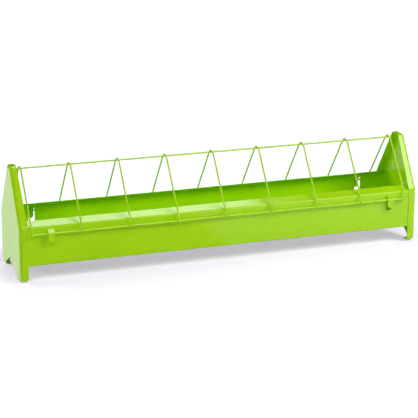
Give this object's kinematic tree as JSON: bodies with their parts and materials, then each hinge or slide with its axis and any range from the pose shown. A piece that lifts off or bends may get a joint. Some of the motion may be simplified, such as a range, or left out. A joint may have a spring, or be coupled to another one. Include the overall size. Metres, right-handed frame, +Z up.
{
  "type": "trough feeder",
  "caption": "Long powder-coated sheet-metal trough feeder for poultry, with gable end plates on feet and a hinged welded-wire grille over the open channel.",
  "frame": {"origin": "on the ground under the middle of the feeder", "axes": "+X along the trough's length, +Y from the front wall to the rear wall, +Z up"},
  "size_m": [0.75, 0.1564, 0.193],
  "materials": {
    "green_coated_sheet": "gloss lime-green powder coat on folded sheet steel",
    "green_coated_wire": "gloss lime-green powder coat on drawn steel wire"
  },
  "bodies": {
    "feeder": {"trough_channel": "green_coated_sheet", "left_end_plate": "green_coated_sheet", "right_end_plate": "green_coated_sheet"},
    "grille": {"ridge_wire": "green_coated_wire", "front_side_wire": "green_coated_wire", "rear_side_wire": "green_coated_wire", "cross_wire_1": "green_coated_wire", "cross_wire_2": "green_coated_wire", "cross_wire_3": "green_coated_wire", "cross_wire_4": "green_coated_wire", "cross_wire_5": "green_coated_wire", "cross_wire_6": "green_coated_wire", "cross_wire_7": "green_coated_wire", "cross_wire_8": "green_coated_wire", "cross_wire_9": "green_coated_wire"}
  },
  "joints": [
    {"name": "grille_swing", "type": "hinge", "parent": "feeder", "child": "grille", "pos_m": [0, 0.074, 0.0865], "axis": [-1, 0, 0], "range_deg": [0, 160]}
  ]
}
